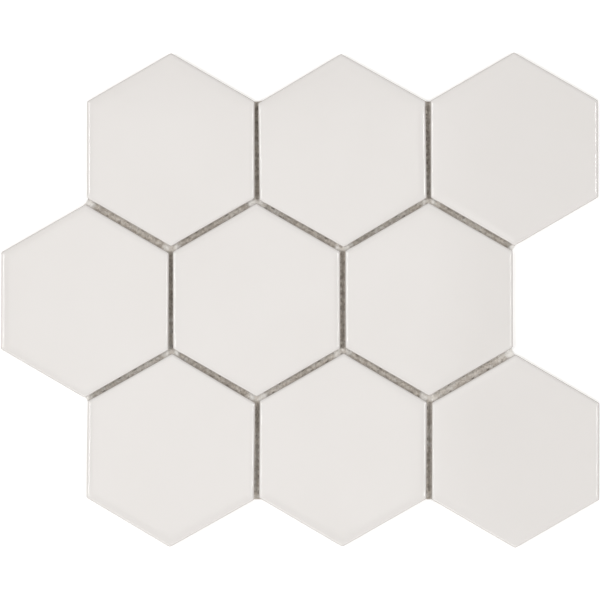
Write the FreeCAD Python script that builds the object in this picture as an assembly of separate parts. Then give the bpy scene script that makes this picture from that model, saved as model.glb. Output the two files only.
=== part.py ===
# Mesh-mounted sheet of hexagon floor tiles: nine pressed and glazed tiles, set corner up in three
# staggered rows of three, with the grout joints left open and a glass-fibre mesh glued to their backs.
# The sheet lies flat, glazed faces up. X runs along the rows and Y from the front row to the back row.
# The origin is at the bottom centre of the sheet, on the underside of the mesh. Millimetres.
import FreeCAD, Part
import math
import os

# One tile
tile_flats = 95.0  # between two opposite sides
tile_thickness = 6.0  # from the ribs on the back to the middle of the glazed face
edge_radius = 1.7  # the rounded edge between the glazed face and the sides
corner_radius = 1.2  # the six upright corners
crown_width = 3.5  # the border of the face that falls away towards the rounded edge
crown_drop = 0.1  # how far it falls
side_upright = 3.0  # height of the side that stands upright under the face
side_draft = 0.5  # how far the rest of the side leans in on its way to the back

# Back of the tile, keyed to hold in the mortar
groove_width = 4.0
rib_width = 4.5
groove_depth = 0.5
back_border = 6.0  # plain rim between the grooves and the back's own edge

# The sheet
joint_in_row = 2.2  # open joint between two tiles of one row
joint_between_rows = 3.0  # open joint between two rows, square to the slanting sides
row_names = ("back", "middle", "front")
column_names = ("left", "centre", "right")

# Mesh glued to the backs, with the glue that fills it
mesh_thickness = 0.5
mesh_inset = 0.9  # from the outer sides of the tiles to the cut edge of the mesh
notch_radius = 9.0  # the glue rounds off each notch of that edge

# Each tile was set by hand. How far it strays from its place, to the right, to the back and
# anticlockwise at its corners, is given in shares of the joint between the tiles of a row.
strays = {
    "back_left": (0.0, 0.0, 0.0),
    "back_centre": (-0.1, -0.2, 0.35),
    "back_right": (-0.1, 0.2, 0.05),
    "middle_left": (0.0, -0.2, -0.1),
    "middle_centre": (-0.1, 0.05, 0.05),
    "middle_right": (0.05, 0.25, 0.05),
    "front_left": (0.0, 0.1, -0.3),
    "front_centre": (0.05, 0.2, -0.15),
    "front_right": (0.2, -0.15, -0.05),
}

# What follows from those sizes
quarter_turn = 90.0
corner_step = 60.0  # between neighbouring corners of a hexagon
half_step = corner_step / 2
slant = math.sin(math.radians(corner_step))
column_pitch = tile_flats + joint_in_row
row_pitch = (tile_flats + joint_between_rows - column_pitch / 4) / slant
tile_reach = tile_flats / 2 / math.cos(math.radians(half_step))  # centre to a sharp corner
back_z = mesh_thickness
face_z = back_z + tile_thickness
shoulder_z = face_z - crown_drop
upright_z = shoulder_z - side_upright
face_flats = tile_flats - 2 * edge_radius
back_flats = tile_flats - 2 * side_draft


def place(distance, degrees, z):
    angle = math.radians(degrees)
    return FreeCAD.Vector(distance * math.cos(angle), distance * math.sin(angle), z)


def rounded_hexagon(flats, radius, z):
    """Outline with two corners on the Y axis, its six corners rounded."""
    to_round = (flats / 2 - radius) / math.cos(math.radians(half_step))
    arcs = []
    for number in range(6):
        corner = quarter_turn + number * corner_step
        centre = place(to_round, corner, z)
        ends = [centre + place(radius, corner + turn, 0) for turn in (-half_step, 0, half_step)]
        arcs.append(Part.Arc(*ends).toShape())
    edges = []
    for number, arc in enumerate(arcs):
        following = arcs[(number + 1) % len(arcs)]
        edges.append(arc)
        edges.append(Part.makeLine(arc.lastVertex().Point, following.firstVertex().Point))
    return Part.Wire(edges)


def tile_body():
    """The pressed body: a leaning lower side, an upright side, a rounded edge and a face with a crowned border."""
    foot = rounded_hexagon(back_flats, corner_radius, back_z)
    waist = rounded_hexagon(tile_flats, corner_radius, upright_z)
    leaning = Part.makeLoft([foot, waist], True, True)
    upper = Part.Face(waist).extrude(FreeCAD.Vector(0, 0, face_z - upright_z))
    for number in range(6):
        upper = upper.common(inside_of_side(number * corner_step))
    return leaning.fuse(upper).removeSplitter()


def inside_of_side(degrees):
    """All that lies inwards of one side, under its rounded edge and the crowned border of the face."""
    side_x = tile_flats / 2
    face_x = face_flats / 2
    edge_z = shoulder_z - edge_radius
    halfway = edge_radius * math.sin(math.radians(quarter_turn / 2))
    outline = lines_through([(side_x, upright_z), (side_x, edge_z)])
    arc_points = [(side_x, edge_z), (face_x + halfway, edge_z + halfway), (face_x, shoulder_z)]
    outline.append(Part.Arc(*[upright_point(x, z) for x, z in arc_points]).toShape())
    points = []
    crown_steps = 3
    for step in range(crown_steps + 1):
        share = step / crown_steps
        points.append((face_x - crown_width * share, face_z - crown_drop * (1 - share) ** 2))
    points += [(-tile_flats, face_z), (-tile_flats, upright_z), (side_x, upright_z)]
    outline += lines_through(points)
    block = Part.Face(Part.Wire(outline)).extrude(FreeCAD.Vector(0, 2 * tile_flats, 0))
    block.translate(FreeCAD.Vector(0, -tile_flats, 0))
    block.rotate(FreeCAD.Vector(0, 0, 0), FreeCAD.Vector(0, 0, 1), degrees)
    return block


def upright_point(x, z):
    return FreeCAD.Vector(x, 0, z)


def lines_through(points):
    ends = [upright_point(x, z) for x, z in points]
    return [Part.makeLine(start, end) for start, end in zip(ends, ends[1:])]


def back_grooves():
    """Parallel grooves across the back, cut short by the plain rim."""
    grooved_flats = back_flats - 2 * back_border
    outline = rounded_hexagon(grooved_flats, corner_radius, back_z)
    field = Part.Face(outline).extrude(FreeCAD.Vector(0, 0, groove_depth))
    reach = field.BoundBox.YMax
    pitch = groove_width + rib_width
    pairs = int((reach - groove_width / 2) / pitch)
    grooves = []
    for number in range(-pairs, pairs + 1):
        middle = number * pitch
        corner = FreeCAD.Vector(-grooved_flats, middle - groove_width / 2, back_z)
        grooves.append(Part.makeBox(2 * grooved_flats, groove_width, groove_depth, corner).common(field))
    return grooves


def centres():
    """Name and regular place of each tile: the middle row is shifted half a pitch against the others."""
    found = {}
    for row, row_name in enumerate(row_names):
        stagger = column_pitch / 4 if row % 2 == 0 else -column_pitch / 4
        for column, column_name in enumerate(column_names):
            x = (column - (len(column_names) - 1) / 2) * column_pitch + stagger
            y = ((len(row_names) - 1) / 2 - row) * row_pitch
            found[f"{row_name}_{column_name}"] = FreeCAD.Vector(x, y, 0)
    return found


def laid(tile, name, centre):
    """The tile in its place in the sheet, with the small shift and turn that it was set with."""
    right, back, turn = (share * joint_in_row for share in strays[name])
    moved = tile.copy()
    moved.rotate(FreeCAD.Vector(0, 0, 0), FreeCAD.Vector(0, 0, 1), math.degrees(turn / tile_reach))
    moved.translate(centre + FreeCAD.Vector(right, back, 0))
    return moved


def backing_mesh():
    """The mesh as one thin sheet: the tiles' cells in one outline, drawn in, with rounded notches."""
    side_x = column_pitch / 2
    top_y = (tile_flats + joint_between_rows) / 2 / slant
    side_y = top_y - side_x * math.tan(math.radians(half_step))
    corners = [(0, top_y), (side_x, side_y), (side_x, -side_y), (0, -top_y), (-side_x, -side_y), (-side_x, side_y)]
    cells = []
    for centre in centres().values():
        outline = [centre + FreeCAD.Vector(x, y, 0) for x, y in corners + corners[:1]]
        cells.append(Part.Face(Part.makePolygon(outline)))
    sheet = cells[0].fuse(cells[1:]).removeSplitter().Faces[0]
    inset = joint_in_row / 2 + mesh_inset
    grown = sheet.makeOffset2D(notch_radius, join=2)
    drawn_in = grown.makeOffset2D(-(notch_radius + inset), join=0)
    return drawn_in.Faces[0].extrude(FreeCAD.Vector(0, 0, mesh_thickness))


def write(name, shape):
    solid = shape.Solids[0]
    solid.exportStep(f"parts/{name}.step")
    print(f"{name}: {len(shape.Solids)} solid, valid {solid.isValid()}, {solid.Volume / 1000:.2f} cm3")


os.makedirs("parts", exist_ok=True)
tile = tile_body().cut(back_grooves())
for tile_name, tile_centre in centres().items():
    write(f"tile_{tile_name}", laid(tile, tile_name, tile_centre))
write("backing_mesh", backing_mesh())
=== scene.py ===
import itertools
import math
import random

import bmesh
import bpy
import numpy as np
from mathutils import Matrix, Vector, noise


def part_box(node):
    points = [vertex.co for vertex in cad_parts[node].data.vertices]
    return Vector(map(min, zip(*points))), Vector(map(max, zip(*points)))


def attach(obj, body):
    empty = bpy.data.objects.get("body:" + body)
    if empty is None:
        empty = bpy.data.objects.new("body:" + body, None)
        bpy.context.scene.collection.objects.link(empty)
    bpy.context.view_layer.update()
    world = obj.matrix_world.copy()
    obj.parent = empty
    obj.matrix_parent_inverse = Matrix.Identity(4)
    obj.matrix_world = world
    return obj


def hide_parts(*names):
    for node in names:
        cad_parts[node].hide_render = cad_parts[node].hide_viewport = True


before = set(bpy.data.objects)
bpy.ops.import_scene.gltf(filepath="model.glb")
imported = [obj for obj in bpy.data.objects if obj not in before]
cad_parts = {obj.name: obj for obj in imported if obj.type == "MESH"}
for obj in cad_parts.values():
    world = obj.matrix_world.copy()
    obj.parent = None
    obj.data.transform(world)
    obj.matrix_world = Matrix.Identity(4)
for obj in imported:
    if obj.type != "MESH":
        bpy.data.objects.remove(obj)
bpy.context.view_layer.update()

mm = 0.001
tileSides = 6
sideTurn = 60  # degrees from one side of a tile to the next
tolerance = 0.01  # heights closer than this count as one
tileNames = [name for name in sorted(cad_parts) if name.startswith("tile_")]
print("frame loaded,", len(tileNames), "tiles")


# Small helpers. Shapes are worked out in millimetres and become metres here.

def newPiece(name, vertices, faces):
    data = bpy.data.meshes.new(name)
    data.from_pydata([(x * mm, y * mm, z * mm) for x, y, z in vertices], [], faces)
    data.polygons.foreach_set("use_smooth", [True] * len(data.polygons))
    data.update()
    piece = bpy.data.objects.new(name, data)
    bpy.context.scene.collection.objects.link(piece)
    return piece


def paintMask(piece, name, values):
    mask = piece.data.attributes.new(name, "FLOAT", "POINT")
    mask.data.foreach_set("value", [float(v) for v in values])


def smoothStep(low, high, value):
    share = np.clip((value - low) / (high - low), 0, 1)
    return share * share * (3 - 2 * share)


noiseStride = (17.3, -9.1, 3.7)  # each seed looks at another part of the same noise


def softNoise(x, y, size, seed):
    shift = [stride * seed for stride in noiseStride]
    return noise.noise(Vector((x / size + shift[0], y / size + shift[1], shift[2])))


def noiseField(x, y, size, seed):
    flat = [softNoise(a, b, size, seed) for a, b in zip(x.ravel(), y.ravel())]
    return np.array(flat).reshape(x.shape)


# What the frame says: where each tile lies, how it is turned and how wide it is, all in millimetres

def layOf(name):
    points = np.array([v.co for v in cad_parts[name].data.vertices])[:, :2] / mm
    centre = (points.min(0) + points.max(0)) / 2
    spokes = points - centre
    # The sixth power of a spoke points the same way for all six corners, so their sum gives the turn
    sixfold = -((spokes[:, 0] + 1j * spokes[:, 1]) ** tileSides).sum()
    turn = math.atan2(sixfold.imag, sixfold.real) / tileSides
    across = spokes[:, 0] * math.cos(turn) + spokes[:, 1] * math.sin(turn)
    return {"centre": centre, "turn": turn, "flats": across.max() - across.min()}


def outlineOf(name):
    # The edges of the underside that only one face uses, put in order
    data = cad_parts[name].data
    low = min(v.co.z for v in data.vertices)
    uses = {}
    following = {}
    for face in data.polygons:
        corners = [data.vertices[i].co for i in face.vertices]
        if max(c.z for c in corners) > low + tolerance * mm:
            continue
        keys = [(round(c.x / mm, 3), round(c.y / mm, 3)) for c in corners]
        for a, b in zip(keys, keys[1:] + keys[:1]):
            uses[frozenset((a, b))] = uses.get(frozenset((a, b)), 0) + 1
            following.setdefault(a, []).append(b)
    steps = {a: b for a in following for b in following[a] if uses[frozenset((a, b))] == 1}
    loop = [next(iter(steps))]
    while len(loop) < len(steps):
        loop.append(steps[loop[-1]])
    return np.array(loop)


lays = {name: layOf(name) for name in tileNames}
backing = outlineOf("backing_mesh")
lowest, highest = [np.array(corner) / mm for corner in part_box("tile_middle_centre")]
backHeight = lowest[2]
faceHeight = highest[2]
print("backing outline has", len(backing), "points")


# Shader node groups, built once and placed in each material with its own values

def newEffect(name, inputs, outputs):
    group = bpy.data.node_groups.new(name, "ShaderNodeTree")
    for label, kind, value in inputs:
        socket = group.interface.new_socket(name=label, in_out="INPUT", socket_type=kind)
        socket.default_value = value
    for label, kind in outputs:
        group.interface.new_socket(name=label, in_out="OUTPUT", socket_type=kind)
    return group, group.nodes.new("NodeGroupInput"), group.nodes.new("NodeGroupOutput")


def addNode(tree, kind, **settings):
    made = tree.nodes.new(kind)
    for key, value in settings.items():
        setattr(made, key, value)
    return made


def feed(tree, value, socket):
    if isinstance(value, bpy.types.NodeSocket):
        tree.links.new(value, socket)
    else:
        socket.default_value = value


def objectPlace(tree):
    return addNode(tree, "ShaderNodeTexCoord").outputs["Object"]


def addNoise(tree, where, scale, detail, roughness):
    made = addNode(tree, "ShaderNodeTexNoise")
    for label, value in (("Vector", where), ("Scale", scale), ("Detail", detail), ("Roughness", roughness)):
        feed(tree, value, made.inputs[label])
    return made.outputs["Fac"]


def addMath(tree, operation, *values, clamp=False):
    made = addNode(tree, "ShaderNodeMath", operation=operation, use_clamp=clamp)
    for value, socket in zip(values, made.inputs):
        feed(tree, value, socket)
    return made.outputs[0]


def addRange(tree, value, low, high, toLow=0.0, toHigh=1.0):
    made = addNode(tree, "ShaderNodeMapRange", interpolation_type="SMOOTHSTEP")
    tree.links.new(value, made.inputs["Value"])
    for label, number in (("From Min", low), ("From Max", high), ("To Min", toLow), ("To Max", toHigh)):
        made.inputs[label].default_value = number
    return made.outputs["Result"]


def addMix(tree, share, first, second):
    made = addNode(tree, "ShaderNodeMix", data_type="RGBA")
    for label, value in (("Factor", share), ("A", first), ("B", second)):
        socket = [s for s in made.inputs if s.name == label and s.enabled][0]
        feed(tree, value, socket)
    return [s for s in made.outputs if s.enabled][0]


def makeCloudyTone():
    inputs = [
        ("Tone", "NodeSocketColor", (1, 1, 1, 1)),
        ("Other Tone", "NodeSocketColor", (0, 0, 0, 1)),
        ("Scale", "NodeSocketFloat", 30.0),
        ("Amount", "NodeSocketFloat", 0.5),
        ("Sharpness", "NodeSocketFloat", 0.5),
    ]
    outputs = [("Color", "NodeSocketColor"), ("Mask", "NodeSocketFloat")]
    group, start, end = newEffect("cloudyTone", inputs, outputs)
    clouds = addNoise(group, objectPlace(group), start.outputs["Scale"], detail=5.0, roughness=0.6)
    centred = addMath(group, "SUBTRACT", clouds, 0.5)
    # Sharpness pushes the clouds apart, from soft at 0 to hard patches at 1
    gain = addMath(group, "MULTIPLY_ADD", start.outputs["Sharpness"], 12.0, 1.5)
    pushed = addMath(group, "MULTIPLY", centred, gain)
    mask = addMath(group, "ADD", pushed, 0.5, clamp=True)
    share = addMath(group, "MULTIPLY", mask, start.outputs["Amount"])
    tone = addMix(group, share, start.outputs["Tone"], start.outputs["Other Tone"])
    group.links.new(tone, end.inputs["Color"])
    group.links.new(mask, end.inputs["Mask"])
    return group


def makeFineGrain():
    inputs = [
        ("Scale", "NodeSocketFloat", 900.0),
        ("Pore Scale", "NodeSocketFloat", 700.0),
        ("Pore Depth", "NodeSocketFloat", 0.5),
    ]
    outputs = [("Height", "NodeSocketFloat"), ("Pores", "NodeSocketFloat")]
    group, start, end = newEffect("fineGrain", inputs, outputs)
    where = objectPlace(group)
    grain = addNoise(group, where, start.outputs["Scale"], detail=4.0, roughness=0.7)
    cells = addNode(group, "ShaderNodeTexVoronoi")
    group.links.new(where, cells.inputs["Vector"])
    group.links.new(start.outputs["Pore Scale"], cells.inputs["Scale"])
    pores = addRange(group, cells.outputs["Distance"], low=0.05, high=0.22, toLow=1.0, toHigh=0.0)
    shadedPits = addMath(group, "MULTIPLY", pores, start.outputs["Pore Depth"])
    group.links.new(addMath(group, "SUBTRACT", grain, shadedPits), end.inputs["Height"])
    group.links.new(pores, end.inputs["Pores"])
    return group


def makeHandlingDust():
    inputs = [
        ("Color", "NodeSocketColor", (1, 1, 1, 1)),
        ("Dust", "NodeSocketColor", (0.6, 0.56, 0.5, 1)),
        ("Amount", "NodeSocketFloat", 0.2),
    ]
    group, start, end = newEffect("handlingDust", inputs, [("Color", "NodeSocketColor")])
    where = objectPlace(group)
    broad = addNoise(group, where, 18.0, detail=3.0, roughness=0.55)
    fine = addNoise(group, where, 420.0, detail=3.0, roughness=0.7)
    mask = addRange(group, addMath(group, "MULTIPLY", broad, fine), low=0.2, high=0.42)
    share = addMath(group, "MULTIPLY", mask, start.outputs["Amount"])
    group.links.new(addMix(group, share, start.outputs["Color"], start.outputs["Dust"]), end.inputs["Color"])
    return group


cloudyTone = makeCloudyTone()
fineGrain = makeFineGrain()
handlingDust = makeHandlingDust()


def newMaterial(name):
    material = bpy.data.materials.new(name)
    material.use_nodes = True
    return material, material.node_tree, material.node_tree.nodes["Principled BSDF"]


def placeEffect(tree, group, **values):
    # A value called otherTone goes to the input Other Tone
    made = addNode(tree, "ShaderNodeGroup", node_tree=group)
    for label, value in values.items():
        spaced = "".join(" " + letter if letter.isupper() else letter for letter in label)
        feed(tree, value, made.inputs[spaced.title()])
    return made


def addBump(tree, shader, height, strength, depth):
    bump = addNode(tree, "ShaderNodeBump")
    bump.inputs["Strength"].default_value = strength
    bump.inputs["Distance"].default_value = depth * mm
    tree.links.new(height, bump.inputs["Height"])
    tree.links.new(bump.outputs["Normal"], shader.inputs["Normal"])


def maskOf(tree, name):
    return addNode(tree, "ShaderNodeAttribute", attribute_name=name).outputs["Fac"]


# Glaze: clear and glossy over white porcelain, a little thinner along the rounded edge, where a dark tone
# paints the shade on the steep part of the edge and on the glazed side

glazeLook = {
    "tone": (0.832, 0.806, 0.788, 1),
    "otherTone": (0.817, 0.790, 0.770, 1),
    "clouds": {"scale": 14.0, "amount": 1.0, "sharpness": 0.1},
    # The thin glaze over the body, darkened further with painted shade for the steep edge and the side
    "thinAndShadedTone": (0.34, 0.295, 0.255, 1),
    "thinAndShade": 0.65,  # how much of the thin, shaded tone shows at the rim
    "roughness": (0.07, 0.12),  # from clean glaze to smudged
    "smudges": {"scale": 35.0, "detail": 4.0, "roughness": 0.6},
    "smudgeRange": (0.35, 0.75),
    "ripples": {"scale": 160.0, "detail": 2.0, "roughness": 0.4},
    "rippleStrength": 0.25,
    "rippleDepth": 0.05,
    "ior": 1.52,
}


def makeGlaze(look):
    material, tree, shader = newMaterial("glaze")
    cloud = placeEffect(tree, cloudyTone, tone=look["tone"], otherTone=look["otherTone"], **look["clouds"])
    # Painted shade: the rim mask darkens the steep part of the edge and the glazed side, on top of the
    # thinner glaze there
    thin = addMath(tree, "MULTIPLY", maskOf(tree, "rim"), look["thinAndShade"])
    tone = addMix(tree, thin, cloud.outputs["Color"], look["thinAndShadedTone"])
    tree.links.new(tone, shader.inputs["Base Color"])
    where = objectPlace(tree)
    smudge = addNoise(tree, where, **look["smudges"])
    roughness = addRange(tree, smudge, *look["smudgeRange"], *look["roughness"])
    tree.links.new(roughness, shader.inputs["Roughness"])
    ripple = addNoise(tree, where, **look["ripples"])
    addBump(tree, shader, ripple, look["rippleStrength"], look["rippleDepth"])
    shader.inputs["IOR"].default_value = look["ior"]
    return material


# Bare fired body, seen on the lower sides and the back

bodyLook = {
    "tone": (0.67, 0.61, 0.535, 1),
    "otherTone": (0.57, 0.51, 0.435, 1),
    "clouds": {"scale": 55.0, "amount": 0.8, "sharpness": 0.3},
    "dust": 0.35,
    # Dark tone and share for the pores: painted shade in the pores
    "pitShadeTone": (0.42, 0.38, 0.33, 1),
    "poreShadeShare": 0.35,
    "roughness": 0.85,
    "grain": {"scale": 1500.0, "poreScale": 900.0, "poreDepth": 0.7},
    "grainStrength": 0.5,
    "grainDepth": 0.08,
}


def makeBody(look):
    material, tree, shader = newMaterial("firedBody")
    cloud = placeEffect(tree, cloudyTone, tone=look["tone"], otherTone=look["otherTone"], **look["clouds"])
    dust = placeEffect(tree, handlingDust, color=cloud.outputs["Color"], amount=look["dust"])
    grain = placeEffect(tree, fineGrain, **look["grain"])
    # Painted shade: the pores are darkened in colour as well as pressed in by the bump
    poreShade = addMath(tree, "MULTIPLY", grain.outputs["Pores"], look["poreShadeShare"])
    tone = addMix(tree, poreShade, dust.outputs["Color"], look["pitShadeTone"])
    tree.links.new(tone, shader.inputs["Base Color"])
    shader.inputs["Roughness"].default_value = look["roughness"]
    addBump(tree, shader, grain.outputs["Height"], look["grainStrength"], look["grainDepth"])
    return material


# Glass yarn: white and silky, warmer and patchier where the glue has soaked it

yarnLook = {
    "dryTone": (0.74, 0.73, 0.70, 1),
    "dryOther": (0.62, 0.61, 0.575, 1),
    "dryClouds": {"scale": 240.0, "amount": 0.8, "sharpness": 0.3},
    "soakedTone": (0.80, 0.76, 0.705, 1),
    "soakedOther": (0.60, 0.55, 0.495, 1),
    "soakedClouds": {"scale": 300.0, "amount": 1.0, "sharpness": 0.4},
    "dust": 0.3,
    "roughness": 0.42,
    "fibres": {"scale": 1.0, "detail": 3.0, "roughness": 0.6},
    "fibreStrength": 0.6,
    "fibreDepth": 0.06,
    "alongWeft": (500, 5000, 5000),  # draws the noise out along X, and the next one along Y
    "alongWarp": (5000, 500, 5000),
}


def makeYarn(look, name, stretch):
    material, tree, shader = newMaterial(name)
    dry = placeEffect(tree, cloudyTone, tone=look["dryTone"], otherTone=look["dryOther"], **look["dryClouds"])
    soaked = placeEffect(
        tree, cloudyTone, tone=look["soakedTone"], otherTone=look["soakedOther"], **look["soakedClouds"])
    tone = addMix(tree, maskOf(tree, "soak"), dry.outputs["Color"], soaked.outputs["Color"])
    dust = placeEffect(tree, handlingDust, color=tone, amount=look["dust"])
    tree.links.new(dust.outputs["Color"], shader.inputs["Base Color"])
    shader.inputs["Roughness"].default_value = look["roughness"]
    mapping = addNode(tree, "ShaderNodeMapping")
    mapping.inputs["Scale"].default_value = stretch
    tree.links.new(objectPlace(tree), mapping.inputs["Vector"])
    fibres = addNoise(tree, mapping.outputs["Vector"], **look["fibres"])
    addBump(tree, shader, fibres, look["fibreStrength"], look["fibreDepth"])
    return material


# Glue: a grey-brown film with lighter wisps, and dark pits that paint the shade of open cells over the gap
# below

glueLook = {
    "tone": (0.79, 0.735, 0.665, 1),
    "otherTone": (0.51, 0.455, 0.40, 1),
    "clouds": {"scale": 420.0, "amount": 0.9, "sharpness": 0.45},
    "wispTone": (0.92, 0.90, 0.87, 1),
    "wisps": {"scale": 260.0, "sharpness": 0.6},
    "wispBreak": (0.55, 0.45),  # how much the pattern adds to the wisps, and what they have without it
    # Dark tone of the pits: painted shade where open cells would show the shaded gap below, also used for
    # fine dark specks across the thin film
    "pitShadeTone": (0.15, 0.125, 0.105, 1),
    "specks": {"scale": 900.0, "sharpness": 0.5},
    "speckBreak": (0.5, 0.6),  # the same for the painted pit shade
    "dust": 0.25,
    "roughness": 0.5,
    "grain": {"scale": 1100.0, "poreScale": 600.0, "poreDepth": 0.4},
    "grainStrength": 0.7,
    "grainDepth": 0.12,
}


def brokenMask(tree, name, pattern, breaking):
    clouds = placeEffect(tree, cloudyTone, **pattern)
    strength = addMath(tree, "MULTIPLY_ADD", clouds.outputs["Mask"], *breaking)
    return addMath(tree, "MULTIPLY", strength, maskOf(tree, name), clamp=True)


def makeGlue(look):
    material, tree, shader = newMaterial("glue")
    cloud = placeEffect(tree, cloudyTone, tone=look["tone"], otherTone=look["otherTone"], **look["clouds"])
    light = brokenMask(tree, "wisp", look["wisps"], look["wispBreak"])
    tone = addMix(tree, light, cloud.outputs["Color"], look["wispTone"])
    dark = brokenMask(tree, "pit", look["specks"], look["speckBreak"])
    tone = addMix(tree, dark, tone, look["pitShadeTone"])
    dust = placeEffect(tree, handlingDust, color=tone, amount=look["dust"])
    tree.links.new(dust.outputs["Color"], shader.inputs["Base Color"])
    shader.inputs["Roughness"].default_value = look["roughness"]
    grain = placeEffect(tree, fineGrain, **look["grain"])
    addBump(tree, shader, grain.outputs["Height"], look["grainStrength"], look["grainDepth"])
    return material


glazeMaterial = makeGlaze(glazeLook)
bodyMaterial = makeBody(bodyLook)
warpMaterial = makeYarn(yarnLook, "warpYarn", yarnLook["alongWarp"])
weftMaterial = makeYarn(yarnLook, "weftYarn", yarnLook["alongWeft"])
glueMaterial = makeGlue(glueLook)
print("materials ready")


# Where the glue has welled up: at the meeting points of three tiles, and where a slanting joint
# ends at the side of the sheet. There the painted shade along the edges of the tiles is taken away.

wellShape = {
    "meeting": 0.7,  # three tiles meet where their centres lie within this share of the flats
    "junctionReach": 8.2,  # how far it runs into the slanting joints
    "junctionCore": 0.45,  # the share of that reach where it is full
    "middleShare": 0.5,  # how full it is in line with the upright joint
    "middleWidth": (0.5, 2.8),  # from that line, where it fills up
    "uprightReach": 1.8,  # how far it runs into the upright joint
    # how far it runs in from the open end of each slanting joint
    "endReach": {"backLeft": 8.5, "backRight": 5.2, "frontLeft": 7.0, "frontRight": 10.5},
    "endCore": 0.25,  # the share of that reach where it is full
    "endRows": (95.0, 80.0),  # fades out this far from the middle row, where the outer corners begin
    "beside": (3.6, 5.0),  # fades out where the next tile is this far off
    "shadeLift": 0.85,  # how much of the painted shade along the edge of a tile it takes away
}


def tileDistances(x, y):
    # To the nearest tile and the second nearest, less than nothing inside a tile
    found = []
    for lay in lays.values():
        dx = x - lay["centre"][0]
        dy = y - lay["centre"][1]
        angles = [lay["turn"] + math.radians(sideTurn * side) for side in range(tileSides)]
        reach = np.max([dx * math.cos(angle) + dy * math.sin(angle) for angle in angles], axis=0)
        found.append(reach - lay["flats"] / 2)
    found = np.sort(np.stack(found), axis=0)
    return found[0], found[1]


def outlineDistance(x, y, outline):
    found = np.full(x.shape, np.inf)
    for a, b in zip(outline, np.roll(outline, -1, axis=0)):
        edge = b - a
        share = np.clip(((x - a[0]) * edge[0] + (y - a[1]) * edge[1]) / (edge @ edge), 0, 1)
        found = np.minimum(found, np.hypot(x - a[0] - share * edge[0], y - a[1] - share * edge[1]))
    return found


def junctionShare(x, y, ragged=0.0):
    reach = wellShape["junctionReach"] * (1 + ragged)
    share = np.zeros(x.shape)
    for trio in itertools.combinations(lays.values(), 3):
        centres = np.array([lay["centre"] for lay in trio])
        middle = centres.mean(0)
        if np.hypot(*(centres - middle).T).max() > wellShape["meeting"] * trio[0]["flats"]:
            continue
        upright = 1 if (centres[:, 1] > middle[1]).sum() == 2 else -1
        distance = np.hypot(x - middle[0], y - middle[1])
        near = 1 - smoothStep(wellShape["junctionCore"] * reach, reach, distance)
        along = np.abs(x - middle[0]) / math.cos(math.radians(sideTurn / 2))
        filling = smoothStep(*wellShape["middleWidth"], along)
        full = wellShape["middleShare"] + (1 - wellShape["middleShare"]) * filling
        notUpright = 1 - smoothStep(0.0, wellShape["uprightReach"], (y - middle[1]) * upright)
        share = np.maximum(share, near * full * notUpright)
    return share


def openEndShare(x, y):
    reach = wellShape["endReach"]
    back = np.where(x < 0, reach["backLeft"], reach["backRight"])
    front = np.where(x < 0, reach["frontLeft"], reach["frontRight"])
    far = np.where(y > 0, back, front)
    slanting = np.abs(y) < wellShape["endRows"][0]
    edge = np.full(x.shape, np.inf)
    edge[slanting] = outlineDistance(x[slanting], y[slanting], backing)
    share = 1 - smoothStep(wellShape["endCore"] * far, far, edge)
    return share * smoothStep(*wellShape["endRows"], np.abs(y))


# Tiles. Each one is a stack of rings: flat face, crowned border, rounded edge, glazed side, bare side, back.

tileShape = {
    "inside": 0.03,  # how far the sides stay within the solid
    "cornerRadius": 1.2,
    "cornerShrink": 0.3,  # how fast the corners sharpen inwards
    "leastCorner": 0.7,
    "edgeRadius": 1.7,
    "crownWidth": 3.5,
    "crownDrop": 0.1,
    "faceInsets": (38, 29, 21, 14, 9.5, 7),  # rings on the flat face, from the side inwards
    "sideUpright": 3.0,
    "sideDraft": 0.5,
    "thinAndShade": (44, 66),  # degrees round the edge between which the glaze thins and the painted shade comes in
    "thinAndShadedSide": 0.9,  # how much of the thin glaze and painted shade shows low on the side
    "glazeLine": 2.3,  # mean height above the back where the glaze ends
    "glazeWave": 0.35,
    "waveSizes": (7.0, 2.5),
    "waveAbove": 0.3,  # share of the wave where the side starts to lean
    "glazeBelly": (0.4, 0.15),  # just above the line: share of the lean there, and height
    "glazeStep": (0.09, 0.06),  # inwards and down to the bare body
    "footRound": 0.2,
    "footMiddle": (0.06, 0.05),  # halfway round the foot: inwards from the draft, and up
    "backBorder": 6.0,
    "grooveWidth": 4.0,
    "ribWidth": 4.5,
    "grooveDepth": 0.5,
    "grooveTaper": 0.15,
    "sideSteps": 36,
    "cornerSteps": 6,
    "crownSteps": 7,
    "edgeSteps": 11,
    "edgeWander": 0.05,  # how far the pressed edge strays inwards
    "wanderSize": 9.0,
    "wanderWithin": 3,  # only this near the side
}


def polar(distance, degrees):
    angle = math.radians(degrees)
    return np.array((distance * math.cos(angle), distance * math.sin(angle)))


def hexagonRing(halfFlats, radius, shape):
    halfTurn = sideTurn / 2
    reach = (halfFlats - radius) / math.cos(math.radians(halfTurn))
    turns = [-halfTurn + sideTurn * step / shape["cornerSteps"] for step in range(shape["cornerSteps"] + 1)]
    shares = [step / shape["sideSteps"] for step in range(1, shape["sideSteps"])]
    points = []
    for number in range(tileSides):
        corner = 90 + sideTurn * number
        arc = [polar(reach, corner) + polar(radius, corner + turn) for turn in turns]
        end = polar(reach, corner + sideTurn) + polar(radius, corner + halfTurn)
        points += arc + [arc[-1] + (end - arc[-1]) * share for share in shares]
    return points


def newRing(inset, height, rim=0.0, wave=0.0):
    return {"inset": inset, "height": height, "rim": rim, "wave": wave}


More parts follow.
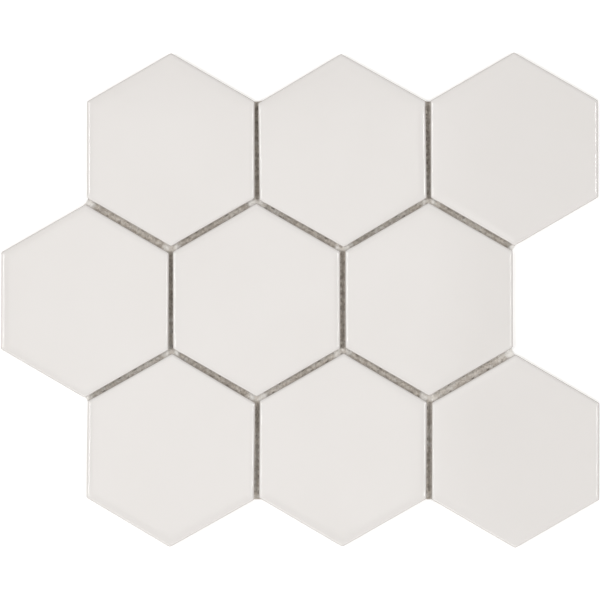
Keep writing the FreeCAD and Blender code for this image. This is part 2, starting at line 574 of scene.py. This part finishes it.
def faceRings(shape):
    # From the flat face over its crowned border and round the edge
    radius = shape["edgeRadius"]
    border = radius + shape["crownWidth"]
    tilt = math.atan(2 * shape["crownDrop"] / shape["crownWidth"])
    centreHeight = faceHeight - shape["crownDrop"] - radius
    arcInset = radius * (1 - math.sin(tilt))
    arcTop = centreHeight + radius * math.cos(tilt)
    rings = [newRing(inset, faceHeight) for inset in shape["faceInsets"]]
    for step in range(shape["crownSteps"]):
        share = step / shape["crownSteps"]
        height = faceHeight - (faceHeight - arcTop) * share ** 2
        rings.append(newRing(border + (arcInset - border) * share, height))
    for step in range(shape["edgeSteps"] + 1):
        angle = tilt + (math.pi / 2 - tilt) * step / shape["edgeSteps"]
        # The rim mask: thinner glaze and painted shade on the steeper part of the edge
        thin = float(smoothStep(*np.radians(shape["thinAndShade"]), angle))
        inset = radius * (1 - math.sin(angle))
        rings.append(newRing(inset, centreHeight + radius * math.cos(angle), rim=thin))
    return rings


def sideRings(shape):
    # Down the glazed side to its line, then down the bare side, round the foot and in to the grooves
    upright = faceHeight - shape["crownDrop"] - shape["sideUpright"]
    line = backHeight + shape["glazeLine"]
    foot = backHeight + shape["footRound"]
    draft = shape["sideDraft"]
    lean = draft / (upright - backHeight)
    leanAtLine = lean * (upright - line)
    leanShare, belly = shape["glazeBelly"]
    stepIn, stepDown = shape["glazeStep"]
    footIn, footUp = shape["footMiddle"]
    # The glazed side carries the rim mask: thin glaze and painted shade
    glazed = [
        newRing(0.0, upright, rim=1.0, wave=shape["waveAbove"]),
        newRing(leanAtLine * leanShare, line + belly, rim=shape["thinAndShadedSide"], wave=1.0),
        newRing(leanAtLine, line, rim=shape["thinAndShadedSide"], wave=1.0),
    ]
    bare = [
        newRing(leanAtLine + stepIn, line - stepDown, wave=1.0),
        newRing(lean * (upright - foot), foot),
        newRing(draft + footIn, backHeight + footUp),
        newRing(draft + shape["footRound"], backHeight),
        newRing(draft + shape["backBorder"], backHeight),
    ]
    return glazed, bare


def ringPoints(ring, half, shape, seed):
    inset = ring["inset"]
    radius = max(shape["cornerRadius"] - shape["cornerShrink"] * inset, shape["leastCorner"])
    large, small = shape["waveSizes"]
    points = []
    for x, y in hexagonRing(half - inset, radius, shape):
        wander = 0.0
        if inset < shape["wanderWithin"]:
            wander = shape["edgeWander"] * (0.5 + 0.5 * softNoise(x, y, shape["wanderSize"], seed))
        shrink = 1 - wander / half
        wave = softNoise(x, y, large, seed + 3) + 0.5 * softNoise(x, y, small, seed + 5)
        points.append((x * shrink, y * shrink, ring["height"] + ring["wave"] * shape["glazeWave"] * wave))
    return points


def inSheet(x, y, lay):
    # From a tile's own place to its place in the sheet
    cosine = math.cos(lay["turn"])
    sine = math.sin(lay["turn"])
    return x * cosine - y * sine + lay["centre"][0], x * sine + y * cosine + lay["centre"][1]


def shadeLiftOn(points, lay):
    points = np.array(points)
    x, y = inSheet(points[:, 0], points[:, 1], lay)
    second = tileDistances(x, y)[1]
    atEnd = openEndShare(x, y) * (1 - smoothStep(*wellShape["beside"], second))
    return np.maximum(junctionShare(x, y), atEnd)


def makeTile(name, shape, seed):
    lay = lays[name]
    half = lay["flats"] / 2 - shape["inside"]
    glazedSide, bareSide = sideRings(shape)
    glazed = faceRings(shape) + glazedSide
    rings = glazed + bareSide
    around = tileSides * (shape["cornerSteps"] + shape["sideSteps"])
    vertices = [(0.0, 0.0, faceHeight)]
    rims = [0.0]
    for ring in rings:
        vertices += ringPoints(ring, half, shape, seed)
        rims += [ring["rim"]] * around
    faces = [(0, 1 + i, 1 + (i + 1) % around) for i in range(around)]
    for level in range(len(rings) - 1):
        for i in range(around):
            a = 1 + level * around + i
            b = 1 + level * around + (i + 1) % around
            faces.append((a, a + around, b + around, b))
    piece = newPiece("glazed_" + name, vertices, faces)
    # The rim mask carries painted shade along the edge; it is taken away where the glue has welled up
    paintMask(piece, "rim", np.array(rims) * (1 - wellShape["shadeLift"] * shadeLiftOn(vertices, lay)))
    piece.data.materials.append(glazeMaterial)
    piece.data.materials.append(bodyMaterial)
    firstBare = len(glazed) * around
    piece.data.polygons.foreach_set("material_index", [int(i >= firstBare) for i in range(len(faces))])
    cutBack(piece, shape, around)
    layDown(piece, lay)
    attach(piece, "root")
    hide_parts(name)


def cutBack(piece, shape, around):
    # The back is closed with one face, cut along the sides of the grooves, and the grooves are pushed in
    pitch = (shape["grooveWidth"] + shape["ribWidth"]) * mm
    halfGroove = shape["grooveWidth"] * mm / 2
    work = bmesh.new()
    work.from_mesh(piece.data)
    work.verts.ensure_lookup_table()
    rim = [work.verts[i] for i in range(len(work.verts) - around, len(work.verts))]
    field = work.faces.new(list(reversed(rim)))
    field.material_index = 1
    pairs = int((max(v.co.y for v in rim) - halfGroove) / pitch)
    cuts = []
    for number in range(-pairs, pairs + 1):
        cuts += [number * pitch - halfGroove, number * pitch + halfGroove]
    strips = [field]
    for height in cuts:
        geometry = set(strips)
        for strip in strips:
            geometry.update(strip.edges)
            geometry.update(strip.verts)
        cut = bmesh.ops.bisect_plane(work, geom=list(geometry), plane_co=(0, height, 0), plane_no=(0, 1, 0))
        strips = [g for g in cut["geom"] if isinstance(g, bmesh.types.BMFace)]
    grooves = []
    for strip in strips:
        middle = strip.calc_center_bounds().y / pitch
        if abs(middle - round(middle)) * pitch < halfGroove and abs(round(middle)) <= pairs:
            grooves.append(strip)
    for strip in bmesh.ops.extrude_discrete_faces(work, faces=grooves)["faces"]:
        middle = strip.calc_center_bounds()
        for vertex in strip.verts:
            vertex.co.z += shape["grooveDepth"] * mm
            vertex.co.y += (middle.y - vertex.co.y) * shape["grooveTaper"]
    work.normal_update()
    # Flat shading keeps the grooves crisp
    ceiling = (backHeight + shape["grooveDepth"] + tolerance) * mm
    for face in work.faces:
        if max(v.co.z for v in face.verts) < ceiling:
            face.smooth = False
    work.to_mesh(piece.data)
    work.free()


def layDown(piece, lay):
    for vertex in piece.data.vertices:
        x, y = inSheet(vertex.co.x / mm, vertex.co.y / mm, lay)
        vertex.co.x = x * mm
        vertex.co.y = y * mm
    piece.data.update()


for number, name in enumerate(tileNames):
    makeTile(name, tileShape, number + 1)
print("tiles made")


# The mesh: leno-woven glass net, two warp strands twisting round each flat weft yarn

netShape = {
    "pitch": 4.35,
    "stray": 0.15,  # how far a line strays from its place
    "wander": 0.35,  # how far a yarn bends sideways on its way
    "wanderSize": 60.0,
    "weft": {"width": 0.95, "thick": 0.17, "sides": 8},
    "weftWave": 0.02,
    "weftWaveSize": 8.0,
    "strand": {"width": 0.5, "thick": 0.2, "sides": 6},
    "strandSpread": 0.2,  # sideways from the middle of the pair
    "level": 0.25,
    "over": 0.11,  # how far a strand lies over or under the weft where they cross
    "between": 0.35,  # the share of that between two crossings
    "cutBack": 0.35,
    "cutRagged": 0.5,
    "shortestYarn": 3,
    "shortestStep": 0.4,  # least distance between a cut end and the next crossing
    "soaked": (4.5, 7.0),  # glue soaks the yarn until the second tile is this far off
    "seeds": {"net": 11, "warp": 21, "weft": 31, "weftWave": 33},
}


def spansAcross(outline, axis, at):
    crossings = []
    for a, b in zip(outline, np.roll(outline, -1, axis=0)):
        if (a[axis] - at) * (b[axis] - at) < 0:
            share = (at - a[axis]) / (b[axis] - a[axis])
            crossings.append(a[1 - axis] + (b[1 - axis] - a[1 - axis]) * share)
    crossings.sort()
    return list(zip(crossings[::2], crossings[1::2]))


def gridLines(low, high, shape, rng):
    pitch = shape["pitch"]
    count = int((high - low) / pitch) - 1
    first = (low + high) / 2 - count * pitch / 2
    return [first + i * pitch + rng.uniform(-shape["stray"], shape["stray"]) for i in range(count + 1)]


def cutEnds(span, shape, rng):
    start = span[0] + (shape["cutBack"] + rng.uniform(0, shape["cutRagged"]))
    end = span[1] - (shape["cutBack"] + rng.uniform(0, shape["cutRagged"]))
    return start, end


def stopsAlong(lines, start, end, shape):
    # Both ends, the crossings between them, and the points halfway
    shortest = shape["shortestStep"]
    stops = [start] + [at for at in lines if start + shortest < at < end - shortest] + [end]
    return sorted(stops + [(a + b) / 2 for a, b in zip(stops, stops[1:])])


def tubeAlong(points, yarn, vertices, faces):
    start = len(vertices)
    around = yarn["sides"]
    for i, point in enumerate(points):
        before = np.array(points[max(i - 1, 0)])
        after = np.array(points[min(i + 1, len(points) - 1)])
        along = after - before
        along = along / np.linalg.norm(along)
        side = np.cross((0, 0, 1), along)
        side = side / np.linalg.norm(side)
        up = np.cross(along, side)
        for step in range(around):
            angle = 2 * math.pi * (step + 0.5) / around
            sideways = side * (yarn["width"] / 2 * math.cos(angle))
            vertices.append(np.array(point) + sideways + up * (yarn["thick"] / 2 * math.sin(angle)))
    for i in range(len(points) - 1):
        for step in range(around):
            a = start + i * around + step
            b = start + i * around + (step + 1) % around
            faces.append((a, b, b + around, a + around))
    last = start + (len(points) - 1) * around
    faces.append(tuple(start + step for step in reversed(range(around))))
    faces.append(tuple(last + step for step in range(around)))


def warpPoint(x, y, firstWeft, phase, layer, shape):
    # The two strands of a pair change sides between one weft yarn and the next
    cell = math.pi * (y - firstWeft) / shape["pitch"]
    bend = shape["wander"] * softNoise(x, y, shape["wanderSize"], shape["seeds"]["warp"])
    twist = layer * shape["strandSpread"] * math.cos(cell + phase)
    closeness = shape["between"] + (1 - shape["between"]) * abs(math.cos(cell))
    return x + bend + twist, y, shape["level"] + layer * shape["over"] * closeness


def weftPoint(x, y, shape):
    bend = shape["wander"] * softNoise(x, y, shape["wanderSize"], shape["seeds"]["weft"])
    wave = shape["weftWave"] * softNoise(x, y, shape["weftWaveSize"], shape["seeds"]["weftWave"])
    return x, y + bend, shape["level"] + wave


def weaveWarps(warps, wefts, shape, rng):
    strands = {1: ([], []), -1: ([], [])}  # the upper and the lower strand of every pair
    for line, x in enumerate(warps):
        for span in spansAcross(backing, 0, x):
            start, end = cutEnds(span, shape, rng)
            if end - start < shape["shortestYarn"]:
                continue
            stops = stopsAlong(wefts, start, end, shape)
            for layer in (1, -1):
                points = [warpPoint(x, y, wefts[0], line, layer, shape) for y in stops]
                tubeAlong(points, shape["strand"], *strands[layer])
    return strands


def weaveWefts(warps, wefts, shape, rng):
    woven = ([], [])
    for y in wefts:
        for span in spansAcross(backing, 1, y):
            start, end = cutEnds(span, shape, rng)
            if end - start < shape["shortestYarn"]:
                continue
            points = [weftPoint(x, y, shape) for x in stopsAlong(warps, start, end, shape)]
            tubeAlong(points, shape["weft"], *woven)
    return woven


def makeNet(shape):
    rng = random.Random(shape["seeds"]["net"])
    low = backing.min(0)
    high = backing.max(0)
    warps = gridLines(low[0], high[0], shape, rng)
    wefts = gridLines(low[1], high[1], shape, rng)
    strands = weaveWarps(warps, wefts, shape, rng)
    woven = weaveWefts(warps, wefts, shape, rng)
    made = []
    for name, (vertices, faces), material in (("net_warp_upper", strands[1], warpMaterial),
                                              ("net_warp_lower", strands[-1], warpMaterial),
                                              ("net_weft", woven, weftMaterial)):
        piece = newPiece(name, vertices, faces)
        spots = np.array(vertices)
        second = tileDistances(spots[:, 0], spots[:, 1])[1]
        paintMask(piece, "soak", 1 - smoothStep(*shape["soaked"], second))
        piece.data.materials.append(material)
        made.append(piece)
    return warps, wefts, made


warpLines, weftLines, netPieces = makeNet(netShape)
print("net woven:", len(warpLines), "warp pairs and", len(weftLines), "weft yarns")


# Glue is worked out on a square grid over the sheet and closed into a skin

def sheetGrid(step):
    low = backing.min(0)
    high = backing.max(0)
    return np.meshgrid(np.arange(low[0], high[0], step), np.arange(low[1], high[1], step))


def insideOutline(x, y, outline):
    inside = np.zeros(x.shape, bool)
    for a, b in zip(outline, np.roll(outline, -1, axis=0)):
        crosses = (a[1] > y) != (b[1] > y)
        with np.errstate(divide="ignore", invalid="ignore"):
            at = (b[0] - a[0]) * (y - a[1]) / (b[1] - a[1]) + a[0]
        inside ^= crosses & (x < at)
    return inside


def nearLines(values, lines):
    return np.abs(values[..., None] - np.array(lines)).min(-1)


def yarnRidge(x, y, width):
    distance = np.minimum(nearLines(x, warpLines), nearLines(y, weftLines))
    return np.exp(-(distance / width) ** 2)


def easeRim(vertices, rim, count, rounds=3):
    # Draws the stepped rim of the grid into a smooth line, above and below alike
    beside = {}
    for a, b in rim:
        beside.setdefault(a, []).append(b)
        beside.setdefault(b, []).append(a)
    for number in range(rounds):
        eased = {}
        for a, neighbours in beside.items():
            middle = [sum(vertices[b][k] for b in neighbours) / len(neighbours) for k in (0, 1)]
            eased[a] = [(vertices[a][k] + middle[k]) / 2 for k in (0, 1)]
        for a, (x, y) in eased.items():
            vertices[a] = (x, y, vertices[a][2])
            vertices[a + count] = (x, y, vertices[a + count][2])


def skinFrom(name, x, y, covered, top, bottom, masks):
    # Every cell of the grid whose four corners are covered gets an upper and a lower face.
    # A mask comes with the share of it that shows below.
    keep = covered[:-1, :-1] & covered[1:, :-1] & covered[:-1, 1:] & covered[1:, 1:]
    used = np.zeros(x.shape, bool)
    used[:-1, :-1] |= keep
    used[1:, :-1] |= keep
    used[:-1, 1:] |= keep
    used[1:, 1:] |= keep
    count = int(used.sum())
    index = -np.ones(x.shape, int)
    index[used] = np.arange(count)
    vertices = list(zip(x[used], y[used], top[used])) + list(zip(x[used], y[used], bottom[used]))
    faces = []
    edges = {}
    for row, column in zip(*np.nonzero(keep)):
        cell = ((row, column), (row, column + 1), (row + 1, column + 1), (row + 1, column))
        loop = tuple(int(index[corner]) for corner in cell)
        faces.append(loop)
        faces.append(tuple(v + count for v in reversed(loop)))
        for a, b in zip(loop, loop[1:] + loop[:1]):
            edges[(a, b)] = True
    rim = [(a, b) for a, b in edges if (b, a) not in edges]
    faces += [(b, a, a + count, b + count) for a, b in rim]
    easeRim(vertices, rim, count)
    piece = newPiece(name, vertices, faces)
    for label, (values, below) in masks.items():
        paintMask(piece, label, list(values[used]) + list(values[used] * below))
    piece.data.materials.append(glueMaterial)
    return piece


# The film: thin and uneven along the joints, higher at the feet of the tiles and where it has welled up

filmShape = {
    "step": 0.5,
    "joint": 3.0,  # width of the joints between the rows
    "reach": 2.6,  # how far it runs on under the tiles
    "ragged": 1.1,
    "margin": 2.6,  # past that reach, where its noise is still worked out
    "noise": {  # size and seed
        "patches": (5.0, 41),
        "streaks": (2.2, 42),
        "fine": (1.1, 43),
        "broad": (19.0, 44),
    },
    "film": 0.27,
    "sag": 0.08,
    "overYarn": 0.10,
    "yarnWidth": 0.5,
    "creep": 0.75,  # how high it stands at the foot of a tile
    "creepWidth": 0.55,
    "creepUneven": (0.5, 0.7, 0.4),  # level, and what patches and streaks add
    "grip": 0.5,  # how far it follows the leaning side of a tile inwards
    "mound": 2.3,  # how much higher it stands where three tiles meet
    "moundUneven": (0.75, 0.5),  # level, and what streaks add
    "moundRagged": 0.35,
    "fillet": 3.3,  # how much higher where a slanting joint ends at the side of the sheet
    "filletUneven": (0.8, 0.4),
    "gap": 0.02,  # left under the back of a tile
    "lift": 0.03,
    "liftWave": 0.02,
}
wispMarks = {
    "onYarn": 0.35,
    "inClouds": 0.7,
    "clouds": (0.0, 0.5),
    "cloudStreaks": 0.5,
    "inJunction": 1.3,
    "junctionPatches": 0.4,
    "atEnd": 1.6,
}
# Pits are painted shade: dark spots in the open cells of the net at the feet of the tiles, where the shaded
# gap below would show. Fine dark specks across the thin film are added to them.
pitShadeMarks = {
    "fromWarp": (0.9, 1.7),  # a cell of the net begins this far from its yarns
    "fromWeft": (0.7, 1.6),
    "fromTile": (0.25, 0.75),
    "streaks": (-0.25, 0.15),
    "fine": (0.35, 0.6),
    "fineShare": 0.5,
    "hiddenAtEnd": 0.8,
    "below": 0.15,  # share that shows on the underside
}


def filmSpots(shape):
    # All that the film depends on, at each point of the grid
    x, y = sheetGrid(shape["step"])
    nearest, second = tileDistances(x, y)
    band = second < shape["joint"] + shape["reach"] + shape["margin"]
    spots = {"x": x, "y": y, "nearest": nearest, "second": second}
    for label, (size, seed) in shape["noise"].items():
        spots[label] = np.zeros(x.shape)
        spots[label][band] = noiseField(x[band], y[band], size, seed)
    spots["ridge"] = yarnRidge(x, y, shape["yarnWidth"])
    spots["junction"] = junctionShare(x, y, shape["moundRagged"] * spots["streaks"])
    spots["openEnd"] = np.zeros(x.shape)
    spots["openEnd"][band] = openEndShare(x[band], y[band])
    return spots


def filmTop(spots, shape):
    patches = spots["patches"]
    streaks = spots["streaks"]
    thin = shape["film"] + shape["sag"] * (patches + spots["fine"]) + shape["overYarn"] * spots["ridge"]
    creeping = np.clip(1 - np.abs(spots["nearest"]) / shape["creepWidth"], 0, 1)
    level, byPatches, byStreaks = shape["creepUneven"]
    foot = shape["creep"] * creeping * np.clip(level + byPatches * patches + byStreaks * streaks, 0, 1)
    level, byStreaks = shape["moundUneven"]
    mound = shape["mound"] * spots["junction"] * (level + byStreaks * streaks)
    level, byStreaks = shape["filletUneven"]
    fillet = shape["fillet"] * spots["openEnd"] * (level + byStreaks * streaks)
    inJoint = thin + foot + np.maximum(mound, fillet)
    underTile = np.minimum(thin, backHeight - shape["gap"])
    return np.where(spots["nearest"] > -shape["grip"], inJoint, underTile)


def filmWisps(spots, marks):
    clouds = smoothStep(*marks["clouds"], spots["broad"] + marks["cloudStreaks"] * spots["streaks"])
    drawn = np.clip(marks["onYarn"] * spots["ridge"] + marks["inClouds"] * clouds, 0, 1)
    atJunction = marks["inJunction"] * spots["junction"] * (1 + marks["junctionPatches"] * spots["patches"])
    return np.maximum(drawn, np.maximum(atJunction, marks["atEnd"] * spots["openEnd"]))


# The painted pit shade, with the fine specks
def paintedPitShade(spots, marks):
    cell = smoothStep(*marks["fromWarp"], nearLines(spots["x"], warpLines))
    cell = cell * smoothStep(*marks["fromWeft"], nearLines(spots["y"], weftLines))
    atFoot = 1 - smoothStep(*marks["fromTile"], spots["nearest"])
    thinFilm = 1 - spots["junction"]
    shadedPits = cell * atFoot * smoothStep(*marks["streaks"], spots["streaks"]) * thinFilm
    specks = marks["fineShare"] * smoothStep(*marks["fine"], spots["fine"]) * thinFilm
    return np.clip(np.clip(shadedPits + specks, 0, 1) * (1 - marks["hiddenAtEnd"] * spots["openEnd"]), 0, 1)


def makeGlueFilm(shape):
    spots = filmSpots(shape)
    edge = shape["joint"] + shape["reach"] + shape["ragged"] * spots["patches"]
    covered = (spots["second"] < edge) & insideOutline(spots["x"], spots["y"], backing)
    bottom = shape["lift"] + shape["liftWave"] * spots["fine"]
    wisps = filmWisps(spots, wispMarks)
    shadedPits = paintedPitShade(spots, pitShadeMarks)
    masks = {"wisp": (wisps, 1.0), "pit": (shadedPits, pitShadeMarks["below"])}
    return skinFrom("glue_film", spots["x"], spots["y"], covered, filmTop(spots, shape), bottom, masks)


# The dabs: one under the middle of each tile and six round it

dabShape = {
    "step": 0.8,
    "radius": 6.5,
    "ring": 26.0,
    "ragged": 0.3,
    "raggedSize": 4.5,
    "seed": 51,
    "underside": 0.22,
    "belowYarn": 0.16,  # how much lower it hangs where it wraps a yarn
    "yarnWidth": 0.8,
    "uneven": 0.04,
    "lowest": 0.03,
    "gap": 0.02,
    "wisps": 0.5,
}


def makeGlueDabs(shape):
    x, y = sheetGrid(shape["step"])
    ragged = noiseField(x, y, shape["raggedSize"], shape["seed"])
    covered = np.zeros(x.shape, bool)
    for lay in lays.values():
        turns = [math.degrees(lay["turn"]) + sideTurn * number for number in range(tileSides)]
        for dx, dy in [(0, 0)] + [polar(shape["ring"], turn) for turn in turns]:
            distance = np.hypot(x - lay["centre"][0] - dx, y - lay["centre"][1] - dy)
            covered |= distance < shape["radius"] * (1 + shape["ragged"] * ragged)
    hanging = shape["belowYarn"] * yarnRidge(x, y, shape["yarnWidth"]) + shape["uneven"] * ragged
    bottom = np.maximum(shape["underside"] - hanging, shape["lowest"])
    top = np.full(x.shape, backHeight - shape["gap"])
    wisp = np.clip(shape["wisps"] + ragged, 0, 1)
    masks = {"wisp": (wisp, 1.0), "pit": (0 * wisp, 0.0)}
    return skinFrom("glue_dabs", x, y, covered, top, bottom, masks)


gluePieces = [makeGlueFilm(filmShape), makeGlueDabs(dabShape)]
for piece in netPieces + gluePieces:
    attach(piece, "root")
    print(piece.name, sum(len(f.vertices) - 2 for f in piece.data.polygons), "triangles")
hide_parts("backing_mesh")
print("glue spread")


# Floor, light and camera

stageLook = {
    "floor": (0.93, 0.93, 0.93, 1),
    "floorSize": 8.0,
    "floorRoughness": 0.9,
    "floorGlow": 0.36,
    "skyTone": (1.0, 0.995, 0.985, 1),
    "sky": 0.505,
}
lamps = {  # spot and size in metres, power in watts
    "leftPanel": {"spot": (-1.14, 0, 2.56), "size": (0.60, 0.36), "power": 13.5, "tone": (1, 0.99, 0.975)},
    "rightPanel": {"spot": (1.14, 0, 2.56), "size": (0.60, 0.36), "power": 13.5, "tone": (1, 0.99, 0.975)},
    "frontPanel": {"spot": (0, -2.4, 1.25), "size": (3.0, 1.0), "power": 14.0, "tone": (1, 0.99, 0.98)},
    "window": {"spot": (-2.15, 0, 1.5), "size": (1.2, 1.0), "power": 7.0, "tone": (1, 1, 0.99)},
    "overhead": {"spot": (-0.10, -0.03, 2.7), "size": (0.57, 0.54), "power": 0.96, "tone": (1, 0.99, 0.98),
                 "aim": (-0.10, -0.03, 0)},
}
photoFrame = {
    "pixels": 600,
    "pixelsPerMm": 1.7689,
    "centre": (0.08, 0.13),  # the point of the sheet under the middle of the picture
    "height": 2400.0,  # of the camera above the faces
    "sensor": 36.0,
    "clipStart": 0.01,
}


def makeFloor(look):
    reach = look["floorSize"] / 2
    data = bpy.data.meshes.new("floor")
    corners = [(-reach, -reach, 0), (reach, -reach, 0), (reach, reach, 0), (-reach, reach, 0)]
    data.from_pydata(corners, [], [(0, 1, 2, 3)])
    floor = bpy.data.objects.new("floor", data)
    bpy.context.scene.collection.objects.link(floor)
    material, tree, shader = newMaterial("paleFloor")
    shader.inputs["Base Color"].default_value = look["floor"]
    shader.inputs["Roughness"].default_value = look["floorRoughness"]
    shader.inputs["Specular IOR Level"].default_value = 0.0
    path = addNode(tree, "ShaderNodeLightPath")
    seen = addMath(tree, "MAXIMUM", path.outputs["Is Camera Ray"], path.outputs["Is Glossy Ray"])
    seen = addMath(tree, "MAXIMUM", seen, path.outputs["Is Transmission Ray"])
    glow = addMath(tree, "MULTIPLY", seen, look["floorGlow"])
    shader.inputs["Emission Color"].default_value = (1, 1, 1, 1)
    tree.links.new(glow, shader.inputs["Emission Strength"])
    data.materials.append(material)


def addLamp(name, look):
    data = bpy.data.lights.new(name, "AREA")
    data.shape = "RECTANGLE"
    data.size, data.size_y = look["size"]
    data.energy = look["power"]
    data.color = look["tone"]
    lamp = bpy.data.objects.new(name, data)
    bpy.context.scene.collection.objects.link(lamp)
    lamp.location = look["spot"]
    aim = Vector(look.get("aim", (0, 0, 0)))
    lamp.rotation_euler = (aim - Vector(look["spot"])).to_track_quat("-Z", "Y").to_euler()


def makeSky(look):
    world = bpy.data.worlds.new("paleSky")
    world.use_nodes = True
    sky = world.node_tree.nodes["Background"]
    sky.inputs["Color"].default_value = look["skyTone"]
    sky.inputs["Strength"].default_value = look["sky"]
    bpy.context.scene.world = world


def makeCamera(shot):
    data = bpy.data.cameras.new("camera")
    camera = bpy.data.objects.new("camera", data)
    bpy.context.scene.collection.objects.link(camera)
    width = shot["pixels"] / shot["pixelsPerMm"]
    data.sensor_width = shot["sensor"]
    data.lens = shot["sensor"] * shot["height"] / width
    data.clip_start = shot["clipStart"]
    x, y = shot["centre"]
    camera.location = (x * mm, y * mm, (faceHeight + shot["height"]) * mm)
    bpy.context.scene.camera = camera


makeFloor(stageLook)
makeSky(stageLook)
for name, look in lamps.items():
    addLamp(name, look)
makeCamera(photoFrame)
bpy.context.scene.view_settings.view_transform = "Standard"
print("stage set")
